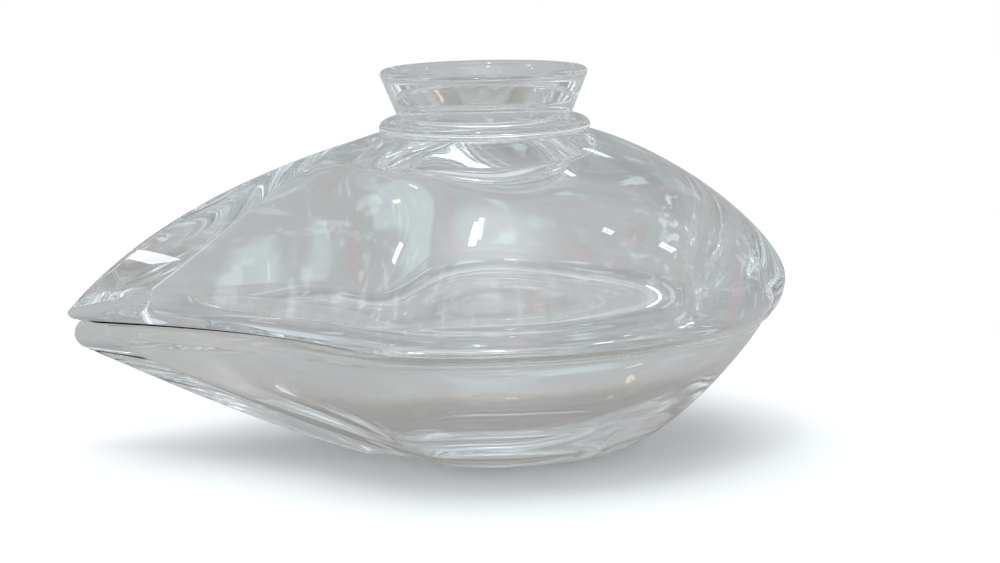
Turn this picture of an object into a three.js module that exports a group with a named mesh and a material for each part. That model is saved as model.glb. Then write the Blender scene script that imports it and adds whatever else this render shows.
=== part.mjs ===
// Covered glass dish, teardrop shaped in plan: a base bowl and a lift-off lid with a cup knob.
// Millimetres, +Z up. The foot rests on z = 0, the knob's axis is the Z axis, the tip points to -X.
import * as THREE from "three";

// Heights of the stacked pieces
const BASE_HEIGHT = 37.6;
const DOME_HEIGHT = 47.9;
const COLLAR_HEIGHT = 3.9;
const CUP_HEIGHT = 12.5;

// Plan of the ground rims where lid and base meet, measured from the knob's axis
const TIP_REACH = 108;
const END_REACH = 75.7;
const HALF_WIDTH = 64.5;
const BELLY_X = 1.9;

// Lid's glass at the ground rim, and over its cavity
const LID_TIP_WALL = 21;
const LID_SIDE_WALL = 8.5;
const LID_END_WALL = 17.5;
const CEILING_THICKNESS = 12.2;

// Base's glass at the ground rim, and under its cavity
const BASE_TIP_WALL = 8;
const BASE_SIDE_WALL = 9;
const BASE_END_WALL = 9;
const FLOOR_THICKNESS = 6;

// Radii of the cavities' rounded mouths
const LID_LIP = 5.5;
const LID_TIP_LIP = 7;
const BASE_LIP = 2.5;
const BASE_TIP_LIP = 4.5;

// Flat parts of the ceiling and the floor, by their reach to the tip, the sides and the round end
const CEILING_FLAT = { ridge: 36, side: 30, end: 27 };
const FLOOR_FLAT = { ridge: 26, side: 16, end: 20 };
const FLOOR_DISH = 0.4;

// Rounded rim of the lid: how far its widest line stands out and how high it lies
const GIRTH_OUT = 2.3;
const END_GIRTH_OUT = 2.8;
const GIRTH_RISE = 8.2;
const BEAK_OUT = 3.2;
const BEAK_RISE = 2.1;

// Rim of the base under the lid's: its set-back and bevel, and the rounded prow under the beak
const RIM_SET_BACK = 0.9;
const BEVEL_DROP = 1.2;
const BEVEL_FOOT = { ridge: [0, -6.8], side: [-2.4, -3], end: [-2.7, -2.6] };
const PROW_OUT = 1.6;
const PROW_DROP = 4;
const PROW_INSET = 1.2;

// Flat foot
const FOOT = { ridge: 35, side: 21.3, end: 31.8 };

// Noses of the teardrop: radius of its tip outside and in the cavities
const RIM_NOSE = 1.8;
const CAVITY_NOSE = 1.2;

// Bends of the profiles that run along the ridge, the side and the round end. Each bend holds two
// [outward, upward] handles, the one that leaves the start and the one that meets the finish.
const DOME_BENDS = {
  ridge: [[-20.4, 23.1], [33, -8.4]],
  side: [[0, 10.7], [28.6, -5.8]],
  end: [[0, 8.6], [28, -8]],
};
const LID_CAVITY_BENDS = {
  ridge: [[-12, 7], [12, -0.5]],
  side: [[-4, 16], [12.2, -1.8]],
  end: [[-2.5, 14], [19, -7]],
};
const BASE_BENDS = {
  ridge: [[27, 8.8], [-25.7, -12.3]],
  side: [[17.4, 2.2], [-5.7, -8.9]],
  end: [[13.4, 0], [-5.7, -10.1]],
};
const BASE_CAVITY_BENDS = {
  ridge: [[-20, -8], [28, 5.6]],
  side: [[-4, -12], [20, 0.4]],
  end: [[-5, -12], [22, 0.4]],
};

// Collar and cup knob
const COLLAR_RADIUS = 27.6;
const COLLAR_SHOULDER = 4.6;
const COLLAR_SHOULDER_DROP = 2.6;
const COLLAR_EDGE = 0.8;
const CUP_FOOT_RADIUS = 22.9;
const CUP_LIP_RADIUS = 27.1;
const CUP_WALL = 4.8;
const CUP_FLOOR = 3.6;
const CUP_LIP_ROUND = 1.4;
const CUP_WELL_RADIUS = 16.5;
const CUP_FILLET = 1.5;
const CUP_EDGE = 0.7;

// Glass of the dish
const GLASS = { color: 0xdfe6e6, roughness: 0.05, metalness: 0, transparent: true, opacity: 0.35 };

// Fineness of the faceted surfaces
const HALF_STEPS = 24;
const DOME_STEPS = 12;
const BOWL_STEPS = 10;
const CAVITY_STEPS = 9;
const ROLL_STEPS = 3;
const LIP_STEPS = 3;
const TURN_STEPS = 56;
const ROUND_STEPS = 4;
const NOSE_SAMPLES = 8;
const FLANK_SAMPLES = 48;
const END_SAMPLES = 32;
const TIP_CROWDING = 1.4;

// A corner's cubic handle for a quarter of an ellipse
const ELLIPSE_HANDLE = 0.5523;

// Teardrop outline, as shares of its sides: reach and spread of the flank's handle at the tip,
// reach of its handle at the belly, and both handles of the round end
const FLANK_REACH = 0.788;
const FLANK_SPREAD = 0.553;
const BELLY_REACH = 0.441;
const END_HANDLE = 0.48;

const KEYS = ["ridge", "side", "end"];
const mix = (a, b, t) => a + (b - a) * t;
const smooth = (t) => t * t * (3 - 2 * t);

// A section gives a ring its [reach, height] at the ridge, at the sides and at the round end
function section(point) {
  return Object.fromEntries(KEYS.map((key) => [key, point(key)]));
}

// Half of a teardrop outline from the tip round the front to the round end, as a dense polyline.
// A pointed curve of one cubic flank and a quarter ellipse is grown outwards by the nose radius.
function halfTeardrop(tip, half, end, { belly, round, nose }) {
  const length = tip - nose + belly;
  const width = half - nose;
  const start = new THREE.Vector2(-(tip - nose), 0);
  const spread = mix(FLANK_SPREAD, ELLIPSE_HANDLE, round);
  const flank = new THREE.CubicBezierCurve(
    start,
    new THREE.Vector2(start.x + (1 - round) * FLANK_REACH * length, -width * spread),
    new THREE.Vector2(belly - length * mix(BELLY_REACH, ELLIPSE_HANDLE, round), -width),
    new THREE.Vector2(belly, -width),
  );
  const handle = mix(END_HANDLE, ELLIPSE_HANDLE, round);
  const roundEnd = new THREE.CubicBezierCurve(
    new THREE.Vector2(belly, -half),
    new THREE.Vector2(mix(belly, end, handle), -half),
    new THREE.Vector2(end, -half * handle),
    new THREE.Vector2(end, 0),
  );
  const points = [];
  const leave = flank.getTangent(0);
  const turn = Math.atan2(leave.x, -leave.y);
  for (let i = 0; i < NOSE_SAMPLES; i++) {
    const angle = (turn * i) / NOSE_SAMPLES;
    points.push(new THREE.Vector2(start.x - nose * Math.cos(angle), -nose * Math.sin(angle)));
  }
  for (let i = 0; i < FLANK_SAMPLES; i++) {
    const point = flank.getPoint(i / FLANK_SAMPLES);
    const along = flank.getTangent(i / FLANK_SAMPLES);
    points.push(new THREE.Vector2(point.x + nose * along.y, point.y - nose * along.x));
  }
  return points.concat(roundEnd.getPoints(END_SAMPLES));
}

// A closed ring of the teardrop, stepped by length and closer at the tip. Its height runs smoothly
// from the ridge's to the side's to the round end's.
function teardropRing({ ridge, side, end }, { belly = BELLY_X, round = 0, nose = RIM_NOSE } = {}) {
  const outline = halfTeardrop(ridge[0], side[0], end[0], { belly, round, nose });
  const heightAt = (x) => {
    const ahead = x < belly;
    const share = ahead ? (x + ridge[0]) / (belly + ridge[0]) : (x - belly) / (end[0] - belly);
    const eased = smooth(THREE.MathUtils.clamp(share, 0, 1));
    return ahead ? mix(ridge[1], side[1], eased) : mix(side[1], end[1], eased);
  };
  const lengths = [0];
  for (let i = 1; i < outline.length; i++) {
    lengths.push(lengths[i - 1] + outline[i].distanceTo(outline[i - 1]));
  }
  const total = lengths[lengths.length - 1];
  const front = [];
  let k = 1;
  for (let i = 0; i <= HALF_STEPS; i++) {
    const wanted = total * Math.pow(i / HALF_STEPS, TIP_CROWDING);
    while (k < outline.length - 1 && lengths[k] < wanted) k += 1;
    const share = (wanted - lengths[k - 1]) / (lengths[k] - lengths[k - 1]);
    const point = outline[k - 1].clone().lerp(outline[k], Math.min(1, share));
    front.push(new THREE.Vector3(point.x, point.y, heightAt(point.x)));
  }
  front[0].y = 0;
  front[HALF_STEPS].y = 0;
  const back = front.slice(1, HALF_STEPS).reverse();
  return front.concat(back.map((p) => new THREE.Vector3(p.x, -p.y, p.z)));
}

// A closed body from a pole, a run of rings and a second pole, faces outwards when the rings run
// from the underside up round the outside to the top
function closedBody(startPole, rings, endPole) {
  const count = rings[0].length;
  const points = [startPole, ...rings.flat(), endPole];
  const index = [];
  const last = points.length - 1;
  for (let j = 0; j < count; j++) {
    const next = (j + 1) % count;
    index.push(0, 1 + next, 1 + j);
    for (let i = 0; i < rings.length - 1; i++) {
      const low = 1 + i * count;
      const high = low + count;
      index.push(low + j, low + next, high + next);
      index.push(low + j, high + next, high + j);
    }
    index.push(last, last - count + j, last - count + next);
  }
  const geometry = new THREE.BufferGeometry().setFromPoints(points);
  geometry.setIndex(index);
  geometry.computeVertexNormals();
  return geometry;
}

// Rings from a start section to a finish section, along a cubic profile for each of ridge, side and end
function loft(start, finish, bends, steps, dress) {
  const curves = section((key) => {
    const [leave, meet] = bends[key];
    const from = new THREE.Vector2(...start[key]);
    const to = new THREE.Vector2(...finish[key]);
    const leaving = from.clone().add(new THREE.Vector2(...leave));
    const meeting = to.clone().add(new THREE.Vector2(...meet));
    return new THREE.CubicBezierCurve(from, leaving, meeting, to);
  });
  const rings = [];
  for (let i = 0; i <= steps; i++) {
    const t = i / steps;
    rings.push(teardropRing(section((key) => curves[key].getPoint(t).toArray()), dress(t)));
  }
  return rings;
}

// Cavities keep the teardrop's belly at the mouth and grow round towards their flat
const cavityDress = (t) => ({ belly: BELLY_X * (1 - t), round: 0.9 * t ** 3, nose: CAVITY_NOSE });

// Quarter-round mouth of a cavity, from its wall to the ground face. up is 1 for the lid, whose
// cavity lies over its ground face, and -1 for the base.
function mouthRings(wall, lips, ground, up) {
  const rings = [];
  for (let i = 1; i <= LIP_STEPS; i++) {
    const turn = (Math.PI / 2) * (i / LIP_STEPS);
    const out = 1 - Math.cos(turn);
    const rise = 1 - Math.sin(turn);
    const lip = section((key) => [wall[key] + lips[key] * out, ground + up * lips[key] * rise]);
    rings.push(teardropRing(lip, { nose: CAVITY_NOSE + lips.side * out }));
  }
  return rings;
}

// Ground edge of both rims
const EDGE = { ridge: TIP_REACH, side: HALF_WIDTH, end: END_REACH };

// Where the rolled edge lies at share t: an arc from (0, 0) that ends upright at (out, rise), or a
// quarter of an ellipse where it reaches out further than up
function rolled(out, rise, t) {
  const turn = Math.min(Math.PI / 2, 2 * Math.atan2(out, rise));
  const angle = turn * (1 - t);
  const inset = (1 - Math.cos(angle)) / (1 - Math.cos(turn));
  return [out * (1 - inset), rise * (1 - Math.sin(angle) / Math.sin(turn))];
}

// Lid dome, drawn from its ground face at height 0 up to the collar's seat
function lidDome() {
  const girth = {
    ridge: [BEAK_OUT, BEAK_RISE],
    side: [GIRTH_OUT, GIRTH_RISE],
    end: [END_GIRTH_OUT, GIRTH_RISE],
  };
  const roll = [];
  for (let i = 0; i < ROLL_STEPS; i++) {
    const at = (key) => {
      const [out, rise] = rolled(...girth[key], i / ROLL_STEPS);
      return [EDGE[key] + out, rise];
    };
    roll.push(teardropRing(section(at)));
  }
  const widest = section((key) => [EDGE[key] + girth[key][0], girth[key][1]]);
  const seat = section(() => [COLLAR_RADIUS, DOME_HEIGHT]);
  const domeDress = (t) => ({ belly: BELLY_X * (1 - t), round: t * t, nose: RIM_NOSE });
  const outside = loft(widest, seat, DOME_BENDS, DOME_STEPS, domeDress);

  const ceiling = DOME_HEIGHT - CEILING_THICKNESS;
  const walls = { ridge: LID_TIP_WALL, side: LID_SIDE_WALL, end: LID_END_WALL };
  const wall = section((key) => EDGE[key] - walls[key]);
  const lips = { ridge: LID_TIP_LIP, side: LID_LIP, end: LID_LIP };
  const mouth = section((key) => [wall[key], lips[key]]);
  const flat = section((key) => [CEILING_FLAT[key], ceiling]);
  const inside = loft(mouth, flat, LID_CAVITY_BENDS, CAVITY_STEPS, cavityDress);
  const rings = [...inside.reverse(), ...mouthRings(wall, lips, 0, 1), ...roll, ...outside];
  return closedBody(new THREE.Vector3(0, 0, ceiling), rings, new THREE.Vector3(0, 0, DOME_HEIGHT));
}

// Base bowl, from the middle of its foot round the outside, over the ground rim and down inside
function baseBowl() {
  const foot = section((key) => [FOOT[key], 0]);
  const bevelFoot = section((key) => [EDGE[key] + BEVEL_FOOT[key][0], BASE_HEIGHT + BEVEL_FOOT[key][1]]);
  const outside = loft(foot, bevelFoot, BASE_BENDS, BOWL_STEPS, (t) => ({ belly: BELLY_X * t }));
  const prow = [TIP_REACH + PROW_OUT, BASE_HEIGHT - PROW_DROP];
  const bevel = (key) => (key === "ridge" ? prow : [EDGE[key] - RIM_SET_BACK, BASE_HEIGHT - BEVEL_DROP]);
  const edge = (key) => [EDGE[key] - (key === "ridge" ? PROW_INSET : RIM_SET_BACK), BASE_HEIGHT];
  const rim = [teardropRing(section(bevel)), teardropRing(section(edge))];

  const floor = FLOOR_THICKNESS;
  const walls = { ridge: BASE_TIP_WALL, side: BASE_SIDE_WALL, end: BASE_END_WALL };
  const wall = section((key) => EDGE[key] - walls[key]);
  const lips = { ridge: BASE_TIP_LIP, side: BASE_LIP, end: BASE_LIP };
  const mouth = section((key) => [wall[key], BASE_HEIGHT - lips[key]]);
  const flat = section((key) => [FLOOR_FLAT[key], floor + FLOOR_DISH]);
  const inside = loft(mouth, flat, BASE_CAVITY_BENDS, CAVITY_STEPS, cavityDress);
  const rings = [...outside, ...rim, ...mouthRings(wall, lips, BASE_HEIGHT, -1).reverse(), ...inside];
  return closedBody(new THREE.Vector3(0, 0, 0), rings, new THREE.Vector3(0, 0, floor));
}

// Rounded corner of a lathe profile: an arc of an ellipse about (x, y), from one angle to another
function roundCorner(x, y, across, along, from, to) {
  const points = [];
  for (let i = 0; i <= ROUND_STEPS; i++) {
    const angle = mix(from, to, i / ROUND_STEPS);
    points.push(new THREE.Vector2(x + across * Math.cos(angle), y + along * Math.sin(angle)));
  }
  return points;
}

// Collar: a flat disc of glass with a full round shoulder
function collar() {
  const edge = COLLAR_EDGE;
  const drop = COLLAR_SHOULDER_DROP;
  const shoulder = COLLAR_SHOULDER;
  const profile = [
    new THREE.Vector2(0, 0),
    ...roundCorner(COLLAR_RADIUS - edge, edge, edge, edge, -Math.PI / 2, 0),
    ...roundCorner(COLLAR_RADIUS - shoulder, COLLAR_HEIGHT - drop, shoulder, drop, 0, Math.PI / 2),
    new THREE.Vector2(0, COLLAR_HEIGHT),
  ];
  return new THREE.LatheGeometry(profile, TURN_STEPS).rotateX(Math.PI / 2);
}

// Cup knob: a flared cup with a thick wall, a flat lip with rounded corners and a solid floor
function cup() {
  const lip = CUP_LIP_ROUND;
  const mouth = CUP_LIP_RADIUS - CUP_WALL;
  const edge = CUP_EDGE;
  const fillet = CUP_FILLET;
  const profile = [
    new THREE.Vector2(0, 0),
    ...roundCorner(CUP_FOOT_RADIUS - edge, edge, edge, edge, -Math.PI / 2, 0),
    ...roundCorner(CUP_LIP_RADIUS - lip, CUP_HEIGHT - lip, lip, lip, 0, Math.PI / 2),
    ...roundCorner(mouth + lip, CUP_HEIGHT - lip, lip, lip, Math.PI / 2, Math.PI),
    ...roundCorner(CUP_WELL_RADIUS - fillet, CUP_FLOOR + fillet, fillet, fillet, 0, -Math.PI / 2),
    new THREE.Vector2(0, CUP_FLOOR),
  ];
  return new THREE.LatheGeometry(profile, TURN_STEPS).rotateX(Math.PI / 2);
}

function piece(name, geometry, height) {
  const mesh = new THREE.Mesh(geometry, new THREE.MeshStandardMaterial(GLASS));
  mesh.name = name;
  mesh.position.z = height;
  return mesh;
}

const dish = new THREE.Group();
dish.add(piece("base_bowl", baseBowl(), 0));

const lid = new THREE.Group();
lid.position.z = BASE_HEIGHT;
lid.add(piece("lid_dome", lidDome(), 0));
lid.add(piece("knob_collar", collar(), DOME_HEIGHT));
lid.add(piece("knob_cup", cup(), DOME_HEIGHT + COLLAR_HEIGHT));
dish.add(lid);

export default dish;
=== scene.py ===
"""Looks of a covered glass dish: base glass, lid glass, a pale stage and a camera.

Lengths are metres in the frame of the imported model: +Z up, the foot on z = 0, the knob's axis along Z and
the pointed tip towards -X. Shapes are worked out in millimetres and scaled once, when the mesh is made.
"""

import math

import bpy
import numpy as np
from bpy.props import FloatProperty, FloatVectorProperty, PointerProperty
from mathutils import Matrix, Vector


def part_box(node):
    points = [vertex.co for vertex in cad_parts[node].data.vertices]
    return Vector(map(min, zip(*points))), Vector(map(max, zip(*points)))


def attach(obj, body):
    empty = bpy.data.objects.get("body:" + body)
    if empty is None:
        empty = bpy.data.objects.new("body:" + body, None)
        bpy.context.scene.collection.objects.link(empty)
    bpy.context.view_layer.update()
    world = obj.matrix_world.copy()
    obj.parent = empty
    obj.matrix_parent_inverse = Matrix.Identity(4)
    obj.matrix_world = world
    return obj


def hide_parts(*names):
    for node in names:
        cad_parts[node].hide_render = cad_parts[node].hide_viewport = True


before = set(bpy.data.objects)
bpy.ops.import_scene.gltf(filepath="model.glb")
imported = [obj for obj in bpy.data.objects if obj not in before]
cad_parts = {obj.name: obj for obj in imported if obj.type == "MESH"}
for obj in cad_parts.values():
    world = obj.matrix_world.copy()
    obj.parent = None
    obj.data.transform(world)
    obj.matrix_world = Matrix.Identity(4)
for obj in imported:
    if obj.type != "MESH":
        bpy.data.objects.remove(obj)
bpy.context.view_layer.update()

bl_info = {
    "name": "Covered Glass Dish",
    "version": (1, 0, 0),
    "blender": (4, 5, 0),
    "location": "3D View > Sidebar > Dish",
    "description": "Builds the two pieces of a teardrop-shaped covered glass dish, its stage and its camera",
    "category": "Object",
}

MM = 0.001
WHITE = (1.0, 1.0, 1.0)

# Turns that light may take inside the thick glass before it is given up
LIGHT_BOUNCES = 96

# Corners of the floor, in metres, and its height, a little under the foot. It ends close behind the dish,
# where it has faded to the backdrop.
FLOOR_CORNERS = ((-3.0, -3.0), (3.0, -3.0), (3.0, 0.25), (-3.0, 0.25))
FLOOR_HEIGHT = -0.1 * MM

# Where the floor fades to the backdrop, in metres from its middle, and the share of it that is there from the
# start: seen through the glass, and seen by the camera. Seen through the glass, that share near the dish is
# painted light: the floor there glows with a share of its own tone, which lightens the dish's shadow under
# it.
GLASS_FADE_AND_PAINTED_LIGHT = (0.07, 0.15, 0.45)
CAMERA_FADE = (0.10, 0.24, 0.0)

# Where the room's tones begin and end, on a scale from -1 to 1: the back wall by height, the room from front
# to back, the patches from near to back, the light from above by height, and the ceiling light by nearness
WALL_RISE = (0.0, 0.3)
FRONT_TO_BACK = (-1.0, 1.0)
PATCHES_TO_BACK = (0.2, 0.85)
OVERHEAD_RISE = (0.35, 1.0)
CEILING_NEARNESS = (0.86, 1.0)

# Way from the dish to the soft ceiling light
CEILING_LIGHT = (0.03, -0.42, 0.90)

# Soft patches of the room: the fineness of their noise, and for each kind the noise at which it begins and is
# full, its tone elsewhere, and its tone behind the dish
PATCH_SCALE = 8.0
PATCH_DETAIL = 2.0
PATCH_TONES = (
    ((0.56, 0.68), (2.7, 3.0, 3.3), (0.54, 0.65, 0.66)),
    ((0.46, 0.36), (0.28, 0.27, 0.27), (0.40, 0.36, 0.365)),
)

# Point that the lamps are turned to, and the size and place of the soft lamp overhead, in metres
LAMP_AIM = (0, 0, 0.05)
SOFTBOX_SIZE = (1.4, 1.4)
SOFTBOX_PLACE = (0, 0, 1.5)

# Small lamps that show as highlights: the way to each from the dish, its distance in metres, its width and
# height in metres, its brightness, its colour, and whether it shows through the glass too
HIGHLIGHT_LAMPS = (
    ("ceiling_strip", (-0.09, -0.409, 0.908), 1.2, (0.06, 0.34), 14.0, (0.92, 0.96, 1.0), True),
    ("left_lamp", (-0.763, -0.206, 0.612), 1.0, (0.06, 0.20), 12.0, (0.92, 0.96, 1.0), False),
    ("warm_lamp", (-0.560, 0.205, 0.800), 1.0, (0.05, 0.07), 8.0, (1.0, 0.72, 0.45), True),
    ("right_lamp", (0.795, 0.078, 0.601), 1.0, (0.07, 0.07), 8.0, (0.95, 0.98, 1.0), True),
    ("rear_window", (0.305, 0.783, 0.543), 1.2, (0.10, 0.05), 3.0, (0.85, 0.95, 1.0), True),
)

# Camera, from the fit of the rim line, in millimetres and degrees: distance in front of the knob's axis,
# height over the rims, the turn and lean of the dish in the picture, the pixels per millimetre at the axis in
# a 1000 pixel wide picture, and the point it looks at, measured from the rims. The clip range is in metres.
CAMERA_DISTANCE = 610.0
CAMERA_RISE = 112.2
CAMERA_YAW = 0.84
CAMERA_ROLL = 1.15
PICTURE_WIDTH = 1000
PICTURE_SCALE = 3.77
SENSOR_WIDTH = 36.0
AIM_POINT = (3.2, 0.0, 7.6)
CAMERA_CLIP = (0.01, 20.0)

# Surface of the glass: the fineness of the ripple and its height in metres, the stretch along the dish over
# which it grows from calm at the tip, and the share of it there. Handled patches: their roughness, and the
# fineness and the band of their noise.
RIPPLE_SIZE = 40.0
RIPPLE_HEIGHT = 0.4 * MM
CALM_REACH = (-95 * MM, -40 * MM)
CALM_SHARE = 0.15
SMUDGE = 0.05
SMUDGE_SIZE = 60.0
SMUDGE_BAND = (0.5, 0.8)

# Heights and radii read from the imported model, in millimetres
BASE_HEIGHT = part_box("base_bowl")[1].z / MM
DOME_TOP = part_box("lid_dome")[1].z / MM
COLLAR_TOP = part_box("knob_collar")[1].z / MM
CUP_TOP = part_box("knob_cup")[1].z / MM
COLLAR_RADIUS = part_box("knob_collar")[1].x / MM
CUP_LIP_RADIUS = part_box("knob_cup")[1].x / MM
LID_TIP = -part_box("lid_dome")[0].x / MM
LID_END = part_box("lid_dome")[1].x / MM
LID_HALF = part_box("lid_dome")[1].y / MM

# Outline of the teardrop: handles of its flank and of its round end, as shares of its sides, and how much
# closer the points of a ring stand at the tip
FLANK_REACH = 0.788
FLANK_SPREAD = 0.553
BELLY_REACH = 0.441
END_HANDLE = 0.48
ELLIPSE_HANDLE = 0.5523
TIP_CROWDING = 1.4

# Noses of the teardrop: radius of its tip outside and in the cavities
RIM_NOSE = 1.8
CAVITY_NOSE = 1.2

# Profiles that run along the ridge, the side and the round end. Each bend holds two [outward, upward]
# handles, the one that leaves the start and the one that meets the finish.
DOME_BENDS = (((-20.4, 23.1), (33, -8.4)), ((0, 10.7), (28.6, -5.8)), ((0, 8.6), (28, -8)))
LID_CAVITY_BENDS = (((-12, 7), (12, -0.5)), ((-4, 16), (12.2, -1.8)), ((-2.5, 14), (19, -7)))
BASE_BENDS = (((27, 8.8), (-25.7, -12.3)), ((17.4, 2.2), (-5.7, -8.9)), ((13.4, 0), (-5.7, -10.1)))
BASE_CAVITY_BENDS = (((-20, -8), (28, 5.6)), ((-4, -12), (20, 0.4)), ((-5, -12), (22, 0.4)))

# Reach of the flat ceiling and the flat floor at the ridge, the side and the end, the rise of the ceiling's
# middle, the floor's hollow, and how far the cavities turn from a teardrop to an ellipse
CEILING_FLAT = (36, 30, 27)
FLOOR_FLAT = (26, 16, 20)
CEILING_RISE = 0.6
FLOOR_DISH = 0.4
CAVITY_ROUND = 0.9

# Unevenness of the ceiling: the height under it over which it grows, the start of its waves, the lengths of
# the straight and the crossed waves, and the share of the crossed ones
WAVE_DEPTH = 10
WAVE_START = 0.6
WAVE_X, WAVE_Y = 7.5, 9.0
CROSS_WAVE_X, CROSS_WAVE_Y = 4.1, 11.0
CROSS_WAVE = 0.6

# Bevel under the base's rim and its last drop, the set-back of its nose, the rise of the lid's broken edge,
# and how far the collar laps over the dome
BEVEL_FOOT = ((0, -6.8), (-2.4, -3), (-2.7, -2.6))
BEVEL_DROP = 1.2
PROW_INSET = 1.6
FILLET_RISE = 0.12
COLLAR_LAP = 0.9

# Collar: the radius of its lower edge and that edge's height over the dome, and how far its rounded top
# reaches in and down. Cup: the radius of its foot and of the foot's edge, the crease it stands in, its lip
# and its wall, and its well's radius, height over the collar and fillet.
COLLAR_UNDER = 0.8
COLLAR_SEAT = 1.0
COLLAR_EDGE = (4.6, 2.6)
CUP_FOOT = 22.9
CUP_FOOT_EDGE = 0.7
CUP_CREASE = ((22.7, 0.0), (22.35, 0.02))
CUP_LIP = 1.4
CUP_WALL = 4.8
WELL_RADIUS = 16.5
WELL_RISE = 3.6
WELL_FILLET = 1.5

# Fineness of the outlines before they are stepped, and of the meshes
TIP_POINTS = 60
FLANK_POINTS = 1200
END_POINTS = 900
HALF_STEPS = 150
DOME_STEPS = 80
BOWL_STEPS = 70
CAVITY_STEPS = 70
FILLET_STEPS = 5
LIP_STEPS = 10
FLAT_STEPS = 6
ROLL_SHARES = np.linspace(0.06, 1.0, 12)
POLE_SHARES = np.linspace(0.06, 0.94, 12)
SOLE_SHARES = np.linspace(0.06, 0.985, 10)
BEVEL_SHARES = np.linspace(0.15, 1, 8)
FLARE_SHARES = np.linspace(0.08, 0.95, 14)
INNER_SHARES = np.linspace(0.05, 0.95, 14)
WELL_SHARES = (0.85, 0.6, 0.35, 0.12)


def mix(a, b, t):
    """Straight blend from a to b."""
    return a + (b - a) * t


def smooth(t):
    """Ease from 0 to 1 with level ends: 3t^2 - 2t^3."""
    t = np.clip(t, 0.0, 1.0)
    return t * t * (3.0 - 2.0 * t)


def cubic(handles, t):
    """Points of a cubic curve: its four handles weighed by (1-t)^3, 3t(1-t)^2, 3t^2(1-t) and t^3."""
    a, b, c, d = (np.asarray(h, float) for h in handles)
    t = np.atleast_1d(np.asarray(t, float))[:, None]
    return a * (1 - t) ** 3 + 3 * b * t * (1 - t) ** 2 + 3 * c * t * t * (1 - t) + d * t**3


def half_outline(tip, half, end, belly, round_, nose):
    """Half a teardrop from the tip round the front to the round end.

    A pointed curve, one cubic flank and one cubic quarter, is grown outwards by the nose radius, so the tip
    becomes an arc of that radius. round_ 0 is the teardrop and 1 an ellipse.
    """
    length = tip - nose + belly
    width = half - nose
    start = -(tip - nose)
    flank = (
        (start, 0.0),
        (start + (1 - round_) * FLANK_REACH * length, -width * mix(FLANK_SPREAD, ELLIPSE_HANDLE, round_)),
        (belly - length * mix(BELLY_REACH, ELLIPSE_HANDLE, round_), -width),
        (belly, -width),
    )
    t = np.linspace(0.0, 1.0, FLANK_POINTS)
    side = cubic(flank, t)
    along = np.gradient(side, axis=0)
    along /= np.linalg.norm(along, axis=1)[:, None]
    side = side + nose * np.stack([along[:, 1], -along[:, 0]], 1)
    turn = math.atan2(along[0, 0], -along[0, 1])
    angle = np.linspace(0.0, turn, TIP_POINTS)[:-1]
    tip_arc = np.stack([start - nose * np.cos(angle), -nose * np.sin(angle)], 1)
    handle = mix(END_HANDLE, ELLIPSE_HANDLE, round_)
    quarter = ((belly, -half), (mix(belly, end, handle), -half), (end, -half * handle), (end, 0.0))
    return np.concatenate([tip_arc, side[:-1], cubic(quarter, np.linspace(0.0, 1.0, END_POINTS))])


def ring(tip, half, end, belly=0.0, round_=0.0, nose=RIM_NOSE, heights=(0.0, 0.0, 0.0)):
    """A closed ring of the teardrop, stepped by length and closer at the tip.

    heights are the tip's, the side's and the round end's, and the ring eases from one to the next.
    """
    line = half_outline(tip, half, end, belly, round_, nose)
    walked = np.concatenate([[0.0], np.cumsum(np.linalg.norm(np.diff(line, axis=0), axis=1))])
    wanted = walked[-1] * np.linspace(0.0, 1.0, HALF_STEPS + 1) ** TIP_CROWDING
    x = np.interp(wanted, walked, line[:, 0])
    y = np.interp(wanted, walked, line[:, 1])
    y[[0, -1]] = 0.0
    low, middle, high = heights
    to_belly = mix(low, middle, smooth((x + tip) / (belly + tip)))
    to_end = mix(middle, high, smooth((x - belly) / (end - belly)))
    z = np.where(x < belly, to_belly, to_end)
    front = np.stack([x, y, z], 1)
    back = front[1:-1][::-1] * (1.0, -1.0, 1.0)
    return np.concatenate([front, back])


def lofted(start, finish, bends, shares, dress):
    """Rings from a start section to a finish section, at shares of three cubic profiles.

    A section gives [reach, height] at the ridge, the side and the round end. A bend gives the handle that
    leaves the start and the one that meets the finish, both measured from there.
    """
    curves = [
        cubic((a, np.add(a, leave), np.add(b, meet), b), shares)
        for a, b, (leave, meet) in zip(start, finish, bends)
    ]
    sections = np.transpose(curves, (1, 2, 0))
    return [ring(*reaches, heights=heights, **dress(t)) for t, (reaches, heights) in zip(shares, sections)]


def turned(profile, around):
    """Rings of a turned surface: each profile point is a radius and a height, carried round by a ring's own
    directions from the axis."""
    flat = around[:, :2] / np.linalg.norm(around[:, :2], axis=1)[:, None]
    return [np.column_stack([flat * radius, np.full(len(flat), height)]) for radius, height in profile]


def arc(x, y, across, along, start, stop, steps):
    """Points on an arc of an ellipse about (x, y), angles in degrees."""
    angle = np.radians(np.linspace(start, stop, steps + 1))
    return list(zip(x + across * np.cos(angle), y + along * np.sin(angle)))


def closed_mesh(name, start_pole, rings, end_pole):
    """A closed body: a pole, a run of rings and a second pole, with quads between rings and fans at poles."""
    count = len(rings[0])
    points = np.concatenate([[start_pole], *rings, [end_pole]]) * MM
    j = np.arange(count)
    nxt = (j + 1) % count
    last = len(points) - 1
    low = 1 + count * np.arange(len(rings) - 1)[:, None]
    quads = np.stack([low + j, low + nxt, low + count + nxt, low + count + j], -1).reshape(-1, 4)
    top = last - count
    fans = [np.stack([0 * j, 1 + nxt, 1 + j], 1), np.stack([0 * j + last, top + j, top + nxt], 1)]
    mesh = bpy.data.meshes.new(name)
    mesh.from_pydata(points.tolist(), [], quads.tolist() + fans[0].tolist() + fans[1].tolist())
    mesh.shade_smooth()
    mesh.validate()
    return mesh


def add_piece(name, mesh, material, body, nodes):
    """Puts a finished mesh on its body in place of its CAD nodes."""
    piece = bpy.data.objects.new(name, mesh)
    bpy.context.scene.collection.objects.link(piece)
    mesh.materials.append(material)
    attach(piece, body)
    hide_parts(*nodes)


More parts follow.
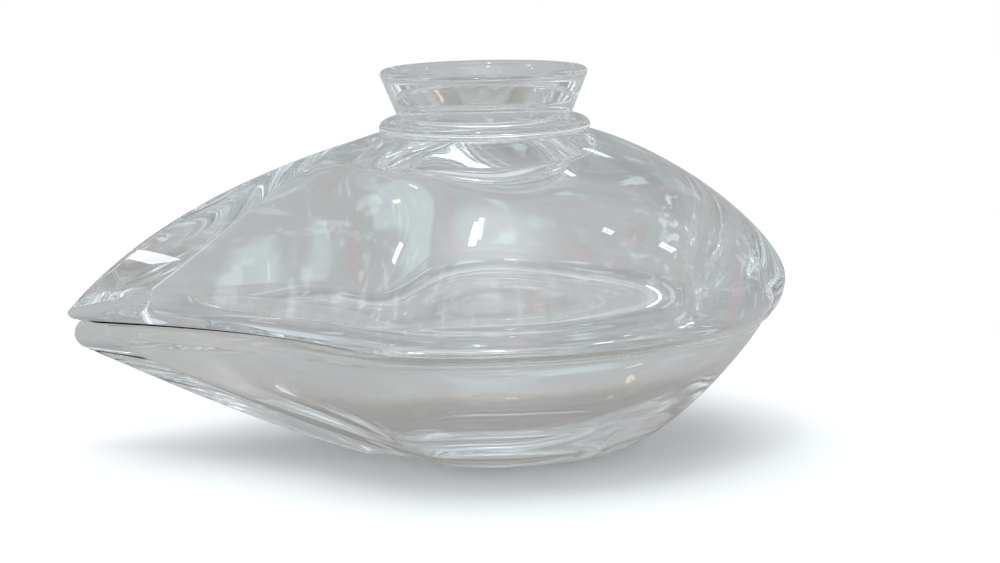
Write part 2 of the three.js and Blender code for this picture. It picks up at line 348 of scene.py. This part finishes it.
def length(name, description, millimetres):
    """A length setting with its default in millimetres."""
    return FloatProperty(name=name, description=description, default=millimetres * MM, unit="LENGTH")


def amount(name, description, default, **options):
    """A number setting."""
    return FloatProperty(name=name, description=description, default=default, **options)


def colour(name, description, default):
    """A colour setting."""
    return FloatVectorProperty(
        name=name, description=description, default=default, size=3, min=0, max=1, subtype="COLOR"
    )


class DishShape(bpy.types.PropertyGroup):
    """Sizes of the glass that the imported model's boxes don't give."""

    girth_out: length("Girth", "How far the lid's rim bulges past its ground face at the sides", 2.3)
    end_girth_out: length("End Girth", "How far the lid's rim bulges at the round end", 2.8)
    girth_rise: length("Girth Rise", "Height of the lid's widest line over its ground face", 8.2)
    beak_out: length("Beak", "How far the lid's tip runs past its ground face", 3.2)
    beak_rise: length("Beak Rise", "Height of the lid's foremost point over its ground face", 2.1)
    lid_tip_wall: length("Lid Tip Wall", "Solid glass behind the lid's tip", 21)
    lid_side_wall: length("Lid Side Wall", "Lid's wall at its sides", 8.5)
    lid_end_wall: length("Lid End Wall", "Lid's wall at its round end", 17.5)
    lid_lip: length("Lid Lip", "Radius of the rounded mouth of the lid", 5.5)
    lid_tip_lip: length("Lid Tip Lip", "Radius of the lid's mouth where it meets the tip", 7)
    ceiling_glass: length("Ceiling", "Glass between the lid's cavity and the collar", 12.2)
    base_tip_wall: length("Base Tip Wall", "Solid glass behind the base's tip", 8)
    base_side_wall: length("Base Side Wall", "Base's wall at its sides", 9)
    base_end_wall: length("Base End Wall", "Base's wall at its round end", 9)
    base_lip: length("Base Lip", "Radius of the rounded mouth of the base", 2.5)
    base_tip_lip: length("Base Tip Lip", "Radius of the base's mouth where it meets the tip", 4.5)
    floor_glass: length("Floor", "Glass under the bowl's cavity", 6)
    belly: length("Belly", "Place of the widest section along the dish", 1.9)
    foot_tip: length("Foot Tip", "Reach of the foot towards the tip", 35)
    foot_half: length("Foot Half Width", "Half the foot's width", 21.3)
    foot_end: length("Foot End", "Reach of the foot towards the round end", 31.8)
    prow_out: length("Prow", "How far the base's nose runs past its ground face", 1.6)
    prow_drop: length("Prow Drop", "Depth of the base's foremost point under its ground face", 4)
    set_back: length("Rim Set-Back", "How far the base's rim stands behind the lid's", 0.9)
    seam_gap: length("Seam Gap", "Air left between lid and base", 0.06)
    fillet: length("Fillet", "Radius of the broken edges of the ground rims", 0.5)
    wave: length("Wave", "Unevenness of the lid's blown ceiling", 0.25)


class GlassLook(bpy.types.PropertyGroup):
    """Colour and surface of the glass."""

    depth_tint: colour("Depth Tint", "Colour left by a great thickness of glass", (0.84, 0.87, 0.87))
    depth_density: amount("Depth Density", "How fast the depth tint builds up, per metre", 3.0, min=0)
    ior: amount("IOR", "Bending of light in the glass", 1.52, min=1.3, max=1.8)
    ripple: amount("Ripple", "Strength of the fine unevenness", 0.10, min=0, max=1)
    smudge: amount("Smudge", "Roughness of handled patches", SMUDGE, min=0, max=1)


class StageLook(bpy.types.PropertyGroup):
    """Floor, lamps and surroundings."""

    floor: colour("Floor", "Colour of the floor", (0.93, 0.915, 0.90))
    floor_through: colour(
        "Floor Through Glass", "Colour of the floor seen through the glass", (0.45, 0.43, 0.405)
    )
    around: colour("Surroundings", "Colour of the room in front of the dish", (0.89, 0.94, 0.97))
    behind: colour("Backdrop", "Colour of the room behind the dish", (0.385, 0.41, 0.42))
    wall: colour("Back Wall", "Colour of the room behind the dish, higher up", (0.26, 0.275, 0.285))
    white_share: amount("White Share", "How much of the white background shows in glass", 0.12, min=0, max=1)
    overhead: colour("Overhead", "Colour of the light from above", (0.87, 0.94, 1.0))
    overhead_strength: amount("Overhead Strength", "Brightness straight up", 0.8, min=0)
    patches: amount("Patches", "Contrast of the soft patches of the room", 0.8, min=0, max=1)
    ceiling: amount("Ceiling Lamp", "Power of the soft lamp overhead", 6.0, min=0, unit="POWER")
    glow: amount("Ceiling Light", "Brightness of the soft ceiling light", 3.0, min=0)
    highlights: amount("Highlights", "Strength of the small lamps", 1.0, min=0)


def millimetres(shape, *names):
    """Settings in millimetres."""
    return np.array([getattr(shape, name) / MM for name in names])


def rim_edge(shape):
    """Ridge, side and end reach of the ground rims' outer edge."""
    outs = millimetres(shape, "beak_out", "girth_out", "end_girth_out")
    return np.array((LID_TIP, LID_HALF, LID_END)) - outs


def rolled(out, rise, t):
    """Where the rolled edge lies at share t: an arc from (0, 0) that ends upright at (out, rise), or a
    quarter of an ellipse where it reaches out further than up."""
    turn = min(math.pi / 2, 2 * math.atan2(out, rise))
    angle = turn * (1 - t)
    inset = (1 - math.cos(angle)) / (1 - math.cos(turn))
    return out * (1 - inset), rise * (1 - math.sin(angle) / math.sin(turn))


def mouth(wall, lips, ground, up, belly):
    """Quarter-round mouth of a cavity, from its wall to the ground face: out by 1-cos, up or down by 1-sin.

    up is 1 where the wall stands over the face, and -1 where it stands under it.
    """
    rings = []
    for turn in np.radians(np.linspace(0, 90, LIP_STEPS + 1)[1:]):
        out, rise = 1 - math.cos(turn), 1 - math.sin(turn)
        nose = CAVITY_NOSE + lips[1] * out
        rings.append(ring(*(wall + lips * out), belly=belly, nose=nose, heights=ground + up * lips * rise))
    return rings


def ground_face(start, stop, height, belly, nose):
    """Rings across a flat ground face, from one set of reaches to another."""
    shares = np.linspace(0, 1, FLAT_STEPS + 2)[1:-1]
    return [ring(*mix(start, stop, f), belly=belly, nose=nose, heights=(height,) * 3) for f in shares]


def unevenness(points, ceiling):
    """Waves of the ceiling at some points: the sine of x times the cosine of y, and a share of the sine of x
    and y together, grown from nothing a little way under the ceiling."""
    x, y, z = points.T
    high = smooth((z - ceiling + WAVE_DEPTH) / WAVE_DEPTH)
    crossed = np.sin(x / CROSS_WAVE_X + y / CROSS_WAVE_Y)
    return high * (np.sin(x / WAVE_X + WAVE_START) * np.cos(y / WAVE_Y) + CROSS_WAVE * crossed)


def lid_mesh(shape):
    """The whole lid as one skin: cavity, ground face, rolled rim, dome, collar and cup."""
    base = BASE_HEIGHT + shape.seam_gap / MM
    top = DOME_TOP
    belly, fillet, wave = millimetres(shape, "belly", "fillet", "wave")
    edge = rim_edge(shape)
    wall = edge - millimetres(shape, "lid_tip_wall", "lid_side_wall", "lid_end_wall")
    lips = millimetres(shape, "lid_tip_lip", "lid_lip", "lid_lip")
    ceiling = top - shape.ceiling_glass / MM
    inside = lofted(
        np.stack([wall, base + lips], 1),
        [(reach, ceiling) for reach in CEILING_FLAT],
        LID_CAVITY_BENDS,
        np.linspace(1.0, 0.0, CAVITY_STEPS + 1),
        lambda t: {"belly": belly * (1 - t), "round_": CAVITY_ROUND * t**3, "nose": CAVITY_NOSE},
    )
    inside = [inside[0] * (f, f, 1) + (0, 0, CEILING_RISE * (1 - f * f)) for f in POLE_SHARES] + inside
    for loop in inside:
        loop[:, 2] += wave * unevenness(loop, ceiling)
    lip = mouth(wall, lips, base, 1, belly)
    flat = ground_face(wall + lips, edge - fillet, base, belly, CAVITY_NOSE + lips[1])
    rim = [
        ring(*(edge - fillet * (1 - f)), belly=belly, heights=(base + FILLET_RISE * f * f,) * 3)
        for f in np.linspace(0, 1, FILLET_STEPS)
    ]
    outs = millimetres(shape, "beak_out", "girth_out", "end_girth_out")
    rises = millimetres(shape, "beak_rise", "girth_rise", "girth_rise")
    for t in ROLL_SHARES:
        out, rise = np.transpose([rolled(*pair, t) for pair in zip(outs, rises)])
        rim.append(ring(*(edge + out), belly=belly, heights=base + rise))
    dome = lofted(
        np.stack([edge + outs, base + rises], 1),
        [(COLLAR_RADIUS - COLLAR_LAP, top)] * 3,
        DOME_BENDS,
        np.linspace(0.0, 1.0, DOME_STEPS + 1)[1:],
        lambda t: {"belly": belly * (1 - t), "round_": t * t, "nose": RIM_NOSE},
    )
    knob = turned(knob_profile(), dome[-1])
    rings = inside + lip + flat + rim + dome + knob
    return closed_mesh("lid_glass", (0, 0, inside[0][0, 2]), rings, (0, 0, knob[-1][0, 2]))


def knob_profile():
    """Radius and height of the collar's and the cup's outline, from the dome's top to the well's middle."""
    foot, lip_height, well = COLLAR_TOP, CUP_TOP - CUP_LIP, COLLAR_TOP + WELL_RISE
    mouth_radius = CUP_LIP_RADIUS - CUP_WALL
    across, down = COLLAR_EDGE
    floor = WELL_RADIUS - WELL_FILLET
    flare = [
        (mix(CUP_FOOT, CUP_LIP_RADIUS, f), mix(foot + CUP_FOOT_EDGE, lip_height, f)) for f in FLARE_SHARES
    ]
    inner = [
        (mix(mouth_radius, WELL_RADIUS, f), mix(lip_height, well + WELL_FILLET, f)) for f in INNER_SHARES
    ]
    return (
        arc(COLLAR_RADIUS - COLLAR_UNDER, DOME_TOP + COLLAR_SEAT, COLLAR_UNDER, COLLAR_UNDER, -80, 0, 6)
        + arc(COLLAR_RADIUS - across, foot - down, across, down, 0, 88, 16)
        + [(radius, foot + rise) for radius, rise in CUP_CREASE]
        + arc(CUP_FOOT - CUP_FOOT_EDGE, foot + CUP_FOOT_EDGE, CUP_FOOT_EDGE, CUP_FOOT_EDGE, -70, 0, 6)
        + flare
        + arc(CUP_LIP_RADIUS - CUP_LIP, lip_height, CUP_LIP, CUP_LIP, 0, 86, 10)
        + arc(mouth_radius + CUP_LIP, lip_height, CUP_LIP, CUP_LIP, 94, 172, 10)
        + inner
        + arc(floor, well + WELL_FILLET, WELL_FILLET, WELL_FILLET, -8, -88, 6)
        + [(floor * f, well) for f in WELL_SHARES]
    )


def base_mesh(shape):
    """The base bowl as one skin: foot, outside, ground rim and cavity."""
    top = BASE_HEIGHT
    belly = shape.belly / MM
    edge = rim_edge(shape)
    foot = millimetres(shape, "foot_tip", "foot_half", "foot_end")
    sole = [ring(*(foot * f), nose=RIM_NOSE * f) for f in SOLE_SHARES]
    low = np.stack([foot, np.zeros(3)], 1)
    bevel_foot = np.stack([edge, (top,) * 3], 1) + BEVEL_FOOT
    shares = np.linspace(0.0, 1.0, BOWL_STEPS + 1)
    outside = lofted(low, bevel_foot, BASE_BENDS, shares, lambda t: {"belly": belly * t, "nose": RIM_NOSE})
    prow_out, prow_drop, back = millimetres(shape, "prow_out", "prow_drop", "set_back")
    bevel = edge + (prow_out, -back, -back)
    heights = np.array((top - prow_drop, top - BEVEL_DROP, top - BEVEL_DROP))
    inset = edge - (PROW_INSET, back, back)
    under, over = [], []
    for f in BEVEL_SHARES:
        eased = np.array((math.sin(f * math.pi / 2), f, f))
        reaches = mix(bevel_foot[:, 0], bevel, eased)
        under.append(ring(*reaches, belly=belly, heights=mix(bevel_foot[:, 1], heights, f)))
        over.append(ring(*mix(bevel, inset, f * f), belly=belly, heights=mix(heights, top, eased)))
    wall = edge - millimetres(shape, "base_tip_wall", "base_side_wall", "base_end_wall")
    lips = millimetres(shape, "base_tip_lip", "base_lip", "base_lip")
    flat = ground_face(inset, wall + lips, top, belly, RIM_NOSE)
    lip = mouth(wall, lips, top, -1, belly)[::-1]
    floor = shape.floor_glass / MM
    cavity = lofted(
        np.stack([wall, top - lips], 1),
        [(reach, floor + FLOOR_DISH) for reach in FLOOR_FLAT],
        BASE_CAVITY_BENDS,
        np.linspace(0.0, 1.0, CAVITY_STEPS + 1),
        lambda t: {"belly": belly * (1 - t), "round_": CAVITY_ROUND * t**3, "nose": CAVITY_NOSE},
    )
    disc = [cavity[-1] * (f, f, 1) - (0, 0, FLOOR_DISH * (1 - f * f)) for f in POLE_SHARES[::-1]]
    rings = sole + outside + under + over + flat + lip + cavity + disc
    return closed_mesh("base_glass", (0, 0, 0), rings, (0, 0, floor))


def socket(tree, name, default=None):
    """Adds a named number to a node group: an input with its default, or an output where there is none."""
    way = "OUTPUT" if default is None else "INPUT"
    made = tree.interface.new_socket(name=name, in_out=way, socket_type="NodeSocketFloat")
    if default is not None:
        made.default_value = default


def feed(tree, entry, value):
    """Links an output to an input, or sets the input to a number or a colour."""
    if isinstance(value, bpy.types.NodeSocket):
        tree.links.new(value, entry)
    else:
        entry.default_value = (*value, 1.0) if entry.type == "RGBA" else value


def ranged(tree, value, limits, start=0.0, eased=True):
    """Share of the way that a value has gone between two limits, from a start up to 1, eased or straight."""
    node = tree.nodes.new("ShaderNodeMapRange")
    node.interpolation_type = "SMOOTHSTEP" if eased else "LINEAR"
    node.inputs["From Min"].default_value, node.inputs["From Max"].default_value = limits
    node.inputs["To Min"].default_value = start
    feed(tree, node.inputs["Value"], value)
    return node.outputs["Result"]


def number(tree, operation, first, second):
    """Result of one step of arithmetic."""
    node = tree.nodes.new("ShaderNodeMath")
    node.operation = operation
    feed(tree, node.inputs[0], first)
    feed(tree, node.inputs[1], second)
    return node.outputs["Value"]


def blend(tree, factor, first, second, kind="RGBA"):
    """Mix of two colours, or of two numbers."""
    node = tree.nodes.new("ShaderNodeMix")
    node.data_type = kind
    for name, value in (("Factor", factor), ("A", first), ("B", second)):
        feed(tree, node.inputs[name], value)
    return node.outputs["Result"]


def surface_group():
    """Node group for hand-finished glass: a slow ripple as height, calmer towards the tip, and handled
    patches as roughness."""
    tree = bpy.data.node_groups.new("hand_finished_glass", "ShaderNodeTree")
    socket(tree, "Ripple Size", RIPPLE_SIZE)
    socket(tree, "Smudge", SMUDGE)
    socket(tree, "Height")
    socket(tree, "Roughness")
    nodes = tree.nodes
    entry, out = nodes.new("NodeGroupInput"), nodes.new("NodeGroupOutput")
    place = nodes.new("ShaderNodeTexCoord").outputs["Object"]
    parts = nodes.new("ShaderNodeSeparateXYZ")
    feed(tree, parts.inputs["Vector"], place)
    ripple = nodes.new("ShaderNodeTexNoise")
    ripple.inputs["Detail"].default_value = 1.0
    ripple.inputs["Roughness"].default_value = 0.3
    feed(tree, ripple.inputs["Vector"], place)
    feed(tree, ripple.inputs["Scale"], entry.outputs["Ripple Size"])
    calm = ranged(tree, parts.outputs["X"], CALM_REACH, CALM_SHARE)
    feed(tree, out.inputs["Height"], number(tree, "MULTIPLY", ripple.outputs["Fac"], calm))
    patch = nodes.new("ShaderNodeTexNoise")
    patch.inputs["Scale"].default_value = SMUDGE_SIZE
    patch.inputs["Detail"].default_value = 6.0
    patch.inputs["Distortion"].default_value = 0.6
    feed(tree, patch.inputs["Vector"], place)
    handled = ranged(tree, patch.outputs["Fac"], SMUDGE_BAND, eased=False)
    feed(tree, handled.node.inputs["To Max"], entry.outputs["Smudge"])
    feed(tree, out.inputs["Roughness"], handled)
    return tree


def glass_material(name, look):
    """Clear thick glass: tint by depth, slow ripple and handled patches."""
    material = bpy.data.materials.new(name)
    material.use_nodes = True
    nodes, links = material.node_tree.nodes, material.node_tree.links
    shader = nodes["Principled BSDF"]
    shader.inputs["Base Color"].default_value = (1.0, 1.0, 1.0, 1.0)
    shader.inputs["Transmission Weight"].default_value = 1.0
    shader.inputs["IOR"].default_value = look.ior
    shader.inputs["Metallic"].default_value = 0.0
    surface = nodes.new("ShaderNodeGroup")
    surface.node_tree = bpy.data.node_groups.get("hand_finished_glass") or surface_group()
    surface.inputs["Smudge"].default_value = look.smudge
    bump = nodes.new("ShaderNodeBump")
    bump.inputs["Strength"].default_value = look.ripple
    bump.inputs["Distance"].default_value = RIPPLE_HEIGHT
    links.new(surface.outputs["Height"], bump.inputs["Height"])
    links.new(bump.outputs["Normal"], shader.inputs["Normal"])
    links.new(surface.outputs["Roughness"], shader.inputs["Roughness"])
    depth = nodes.new("ShaderNodeVolumeAbsorption")
    depth.inputs["Color"].default_value = (*look.depth_tint, 1.0)
    depth.inputs["Density"].default_value = look.depth_density
    links.new(depth.outputs["Volume"], nodes["Material Output"].inputs["Volume"])
    return material


class DISH_OT_base_glass(bpy.types.Operator):
    """Build the base bowl"""

    bl_idname = "dish.base_glass"
    bl_label = "Base Glass"

    def execute(self, context):
        scene = context.scene
        material = glass_material("base_clear_glass", scene.dish_glass)
        add_piece("base_glass", base_mesh(scene.dish_shape), material, "base", ["base_bowl"])
        return {"FINISHED"}


class DISH_OT_lid_glass(bpy.types.Operator):
    """Build the lid with its collar and cup knob"""

    bl_idname = "dish.lid_glass"
    bl_label = "Lid Glass"

    def execute(self, context):
        scene = context.scene
        material = glass_material("lid_clear_glass", scene.dish_glass)
        nodes = ["lid_dome", "knob_collar", "knob_cup"]
        add_piece("lid_glass", lid_mesh(scene.dish_shape), material, "lid", nodes)
        return {"FINISHED"}


def add_lamp(name, size, power, place):
    """A rectangular soft lamp at a place, turned to the dish."""
    data = bpy.data.lights.new(name, "AREA")
    data.shape = "RECTANGLE"
    data.size, data.size_y = size
    data.energy = power
    lamp = bpy.data.objects.new(name, data)
    lamp.location = place
    lamp.rotation_euler = (Vector(LAMP_AIM) - Vector(place)).to_track_quat("-Z", "Y").to_euler()
    bpy.context.scene.collection.objects.link(lamp)
    return lamp


def backdrop(look):
    """Tone of the room behind the dish as the glass shows it, with its share of the white background."""
    return [mix(c, 1.0, look.white_share) for c in look.behind]


def floor_material(look):
    """Pale floor: plain diffuse near the dish to the camera, and with distance the white of the background to
    the
    camera and the tone of the backdrop to the glass. To the glass, near the dish a share of it glows as well:
    painted light that lightens the dish's shadow seen through the glass."""
    material = bpy.data.materials.new("pale_floor")
    material.use_nodes = True
    tree = material.node_tree
    nodes = tree.nodes
    paint = nodes["Principled BSDF"]
    paint.inputs["Roughness"].default_value = 0.9
    paint.inputs["Specular IOR Level"].default_value = 0.0
    glow = nodes.new("ShaderNodeEmission")
    to_camera = nodes.new("ShaderNodeLightPath").outputs["Is Camera Ray"]
    walked = nodes.new("ShaderNodeVectorMath")
    walked.operation = "LENGTH"
    feed(tree, walked.inputs[0], nodes.new("ShaderNodeTexCoord").outputs["Object"])
    away = walked.outputs["Value"]
    ground = blend(tree, ranged(tree, away, GLASS_FADE_AND_PAINTED_LIGHT[:2], eased=False), look.floor_through, backdrop(look))
    feed(tree, paint.inputs["Base Color"], blend(tree, to_camera, look.floor_through, look.floor))
    feed(tree, glow.inputs["Color"], blend(tree, to_camera, ground, WHITE))
    # Seen through the glass, the floor near the dish glows with a share of its tone: painted light that
    # lightens the dish's shadow there.
    fades_with_painted_light = [ranged(tree, away, (near, far), start) for near, far, start in (GLASS_FADE_AND_PAINTED_LIGHT, CAMERA_FADE)]
    surface = nodes.new("ShaderNodeMixShader")
    feed(tree, surface.inputs["Fac"], blend(tree, to_camera, *fades_with_painted_light, kind="FLOAT"))
    feed(tree, surface.inputs[1], paint.outputs["BSDF"])
    feed(tree, surface.inputs[2], glow.outputs["Emission"])
    feed(tree, nodes["Material Output"].inputs["Surface"], surface.outputs["Shader"])
    return material


def room_world(look):
    """Surroundings: white to the camera. The glass sees a grey room with a share of white mixed in: pale in
    front of the dish, darker behind it and darkest at the back wall, with soft light and dark patches, paler
    overhead and brightest round a soft ceiling light."""
    world = bpy.data.worlds.new("studio_room")
    world.use_nodes = True
    tree = world.node_tree
    nodes = tree.nodes
    way = nodes.new("ShaderNodeTexCoord").outputs["Generated"]
    parts = nodes.new("ShaderNodeSeparateXYZ")
    feed(tree, parts.inputs["Vector"], way)
    back, up = parts.outputs["Y"], parts.outputs["Z"]
    toward = nodes.new("ShaderNodeVectorMath")
    toward.operation = "DOT_PRODUCT"
    toward.inputs[1].default_value = Vector(CEILING_LIGHT).normalized()
    feed(tree, toward.inputs[0], way)
    patch = nodes.new("ShaderNodeTexNoise")
    patch.inputs["Scale"].default_value = PATCH_SCALE
    patch.inputs["Detail"].default_value = PATCH_DETAIL
    feed(tree, patch.inputs["Vector"], way)
    behind = blend(tree, ranged(tree, up, WALL_RISE), look.behind, look.wall)
    room = blend(tree, ranged(tree, back, FRONT_TO_BACK), look.around, behind)
    for limits, near_tone, back_tone in PATCH_TONES:
        tone = blend(tree, ranged(tree, back, PATCHES_TO_BACK), near_tone, back_tone)
        strength = number(tree, "MULTIPLY", ranged(tree, patch.outputs["Fac"], limits), look.patches)
        room = blend(tree, strength, room, tone)
    overhead = [c * look.overhead_strength for c in look.overhead]
    room = blend(tree, ranged(tree, up, OVERHEAD_RISE), room, overhead)
    glow = [c * look.glow for c in look.overhead]
    room = blend(tree, ranged(tree, toward.outputs["Value"], CEILING_NEARNESS), room, glow)
    seen = nodes.new("ShaderNodeLightPath").outputs
    glass = number(tree, "MAXIMUM", seen["Is Glossy Ray"], seen["Is Transmission Ray"])
    glass = number(tree, "MULTIPLY", glass, look.white_share)
    white = number(tree, "MAXIMUM", glass, seen["Is Camera Ray"])
    feed(tree, nodes["Background"].inputs["Color"], blend(tree, white, room, WHITE))
    return world


class DISH_OT_stage(bpy.types.Operator):
    """Lay the floor and set the lamps and the surroundings"""

    bl_idname = "dish.stage"
    bl_label = "Stage"

    def execute(self, context):
        scene = context.scene
        look = scene.dish_stage
        mesh = bpy.data.meshes.new("floor")
        mesh.from_pydata([(x, y, FLOOR_HEIGHT) for x, y in FLOOR_CORNERS], [], [(0, 1, 2, 3)])
        mesh.materials.append(floor_material(look))
        floor = bpy.data.objects.new("floor", mesh)
        scene.collection.objects.link(floor)
        scene.world = room_world(look)
        soft = add_lamp("ceiling_softbox", SOFTBOX_SIZE, look.ceiling, SOFTBOX_PLACE)
        soft.visible_glossy = soft.visible_transmission = soft.visible_camera = False
        for name, way, distance, size, brightness, color, through in HIGHLIGHT_LAMPS:
            place = Vector(LAMP_AIM) + Vector(way).normalized() * distance
            power = brightness * look.highlights * math.pi * size[0] * size[1]
            lamp = add_lamp(name, size, power, place)
            lamp.data.color = color
            lamp.visible_transmission = through
        return {"FINISHED"}


class DISH_OT_camera(bpy.types.Operator):
    """Set the camera at the photograph's angle"""

    bl_idname = "dish.camera"
    bl_label = "Camera"

    def execute(self, context):
        yaw = math.radians(CAMERA_YAW)
        reach = math.hypot(CAMERA_DISTANCE, CAMERA_RISE)
        across, away = -CAMERA_DISTANCE * math.sin(yaw), -CAMERA_DISTANCE * math.cos(yaw)
        place = Vector((across, away, BASE_HEIGHT + CAMERA_RISE))
        aim = Vector(AIM_POINT) + Vector((0, 0, BASE_HEIGHT))
        data = bpy.data.cameras.new("camera")
        data.sensor_width = SENSOR_WIDTH
        data.lens = PICTURE_SCALE * reach * SENSOR_WIDTH / PICTURE_WIDTH
        data.clip_start, data.clip_end = CAMERA_CLIP
        camera = bpy.data.objects.new("camera", data)
        turn = (aim - place).to_track_quat("-Z", "Y").to_matrix().to_4x4()
        roll = Matrix.Rotation(math.radians(-CAMERA_ROLL), 4, "Z")
        camera.matrix_world = Matrix.Translation(place * MM) @ turn @ roll
        context.scene.collection.objects.link(camera)
        context.scene.camera = camera
        return {"FINISHED"}


class DISH_PT_panel(bpy.types.Panel):
    """Sidebar panel with the dish's pieces and sizes"""

    bl_label = "Covered Glass Dish"
    bl_idname = "DISH_PT_panel"
    bl_space_type = "VIEW_3D"
    bl_region_type = "UI"
    bl_category = "Dish"

    def draw(self, context):
        layout = self.layout
        for operator in OPERATORS:
            layout.operator(operator.bl_idname)
        for group in (context.scene.dish_shape, context.scene.dish_glass, context.scene.dish_stage):
            box = layout.box()
            for name in group.__annotations__:
                box.prop(group, name)


OPERATORS = (DISH_OT_camera, DISH_OT_base_glass, DISH_OT_lid_glass, DISH_OT_stage)
CLASSES = (DishShape, GlassLook, StageLook, *OPERATORS, DISH_PT_panel)


def register():
    """Registers the classes and hangs the settings on the scene."""
    for cls in CLASSES:
        bpy.utils.register_class(cls)
    bpy.types.Scene.dish_shape = PointerProperty(type=DishShape)
    bpy.types.Scene.dish_glass = PointerProperty(type=GlassLook)
    bpy.types.Scene.dish_stage = PointerProperty(type=StageLook)


def unregister():
    """Takes the settings and the classes away again."""
    del bpy.types.Scene.dish_stage
    del bpy.types.Scene.dish_glass
    del bpy.types.Scene.dish_shape
    for cls in reversed(CLASSES):
        bpy.utils.unregister_class(cls)


def main():
    """Builds everything in order."""
    register()
    scene = bpy.context.scene
    scene.view_settings.view_transform = "Standard"
    scene.cycles.max_bounces = LIGHT_BOUNCES
    scene.cycles.transmission_bounces = LIGHT_BOUNCES
    scene.cycles.glossy_bounces = LIGHT_BOUNCES
    bpy.ops.dish.camera()
    bpy.ops.dish.base_glass()
    bpy.ops.dish.lid_glass()
    bpy.ops.dish.stage()


if __name__ == "__main__":
    main()
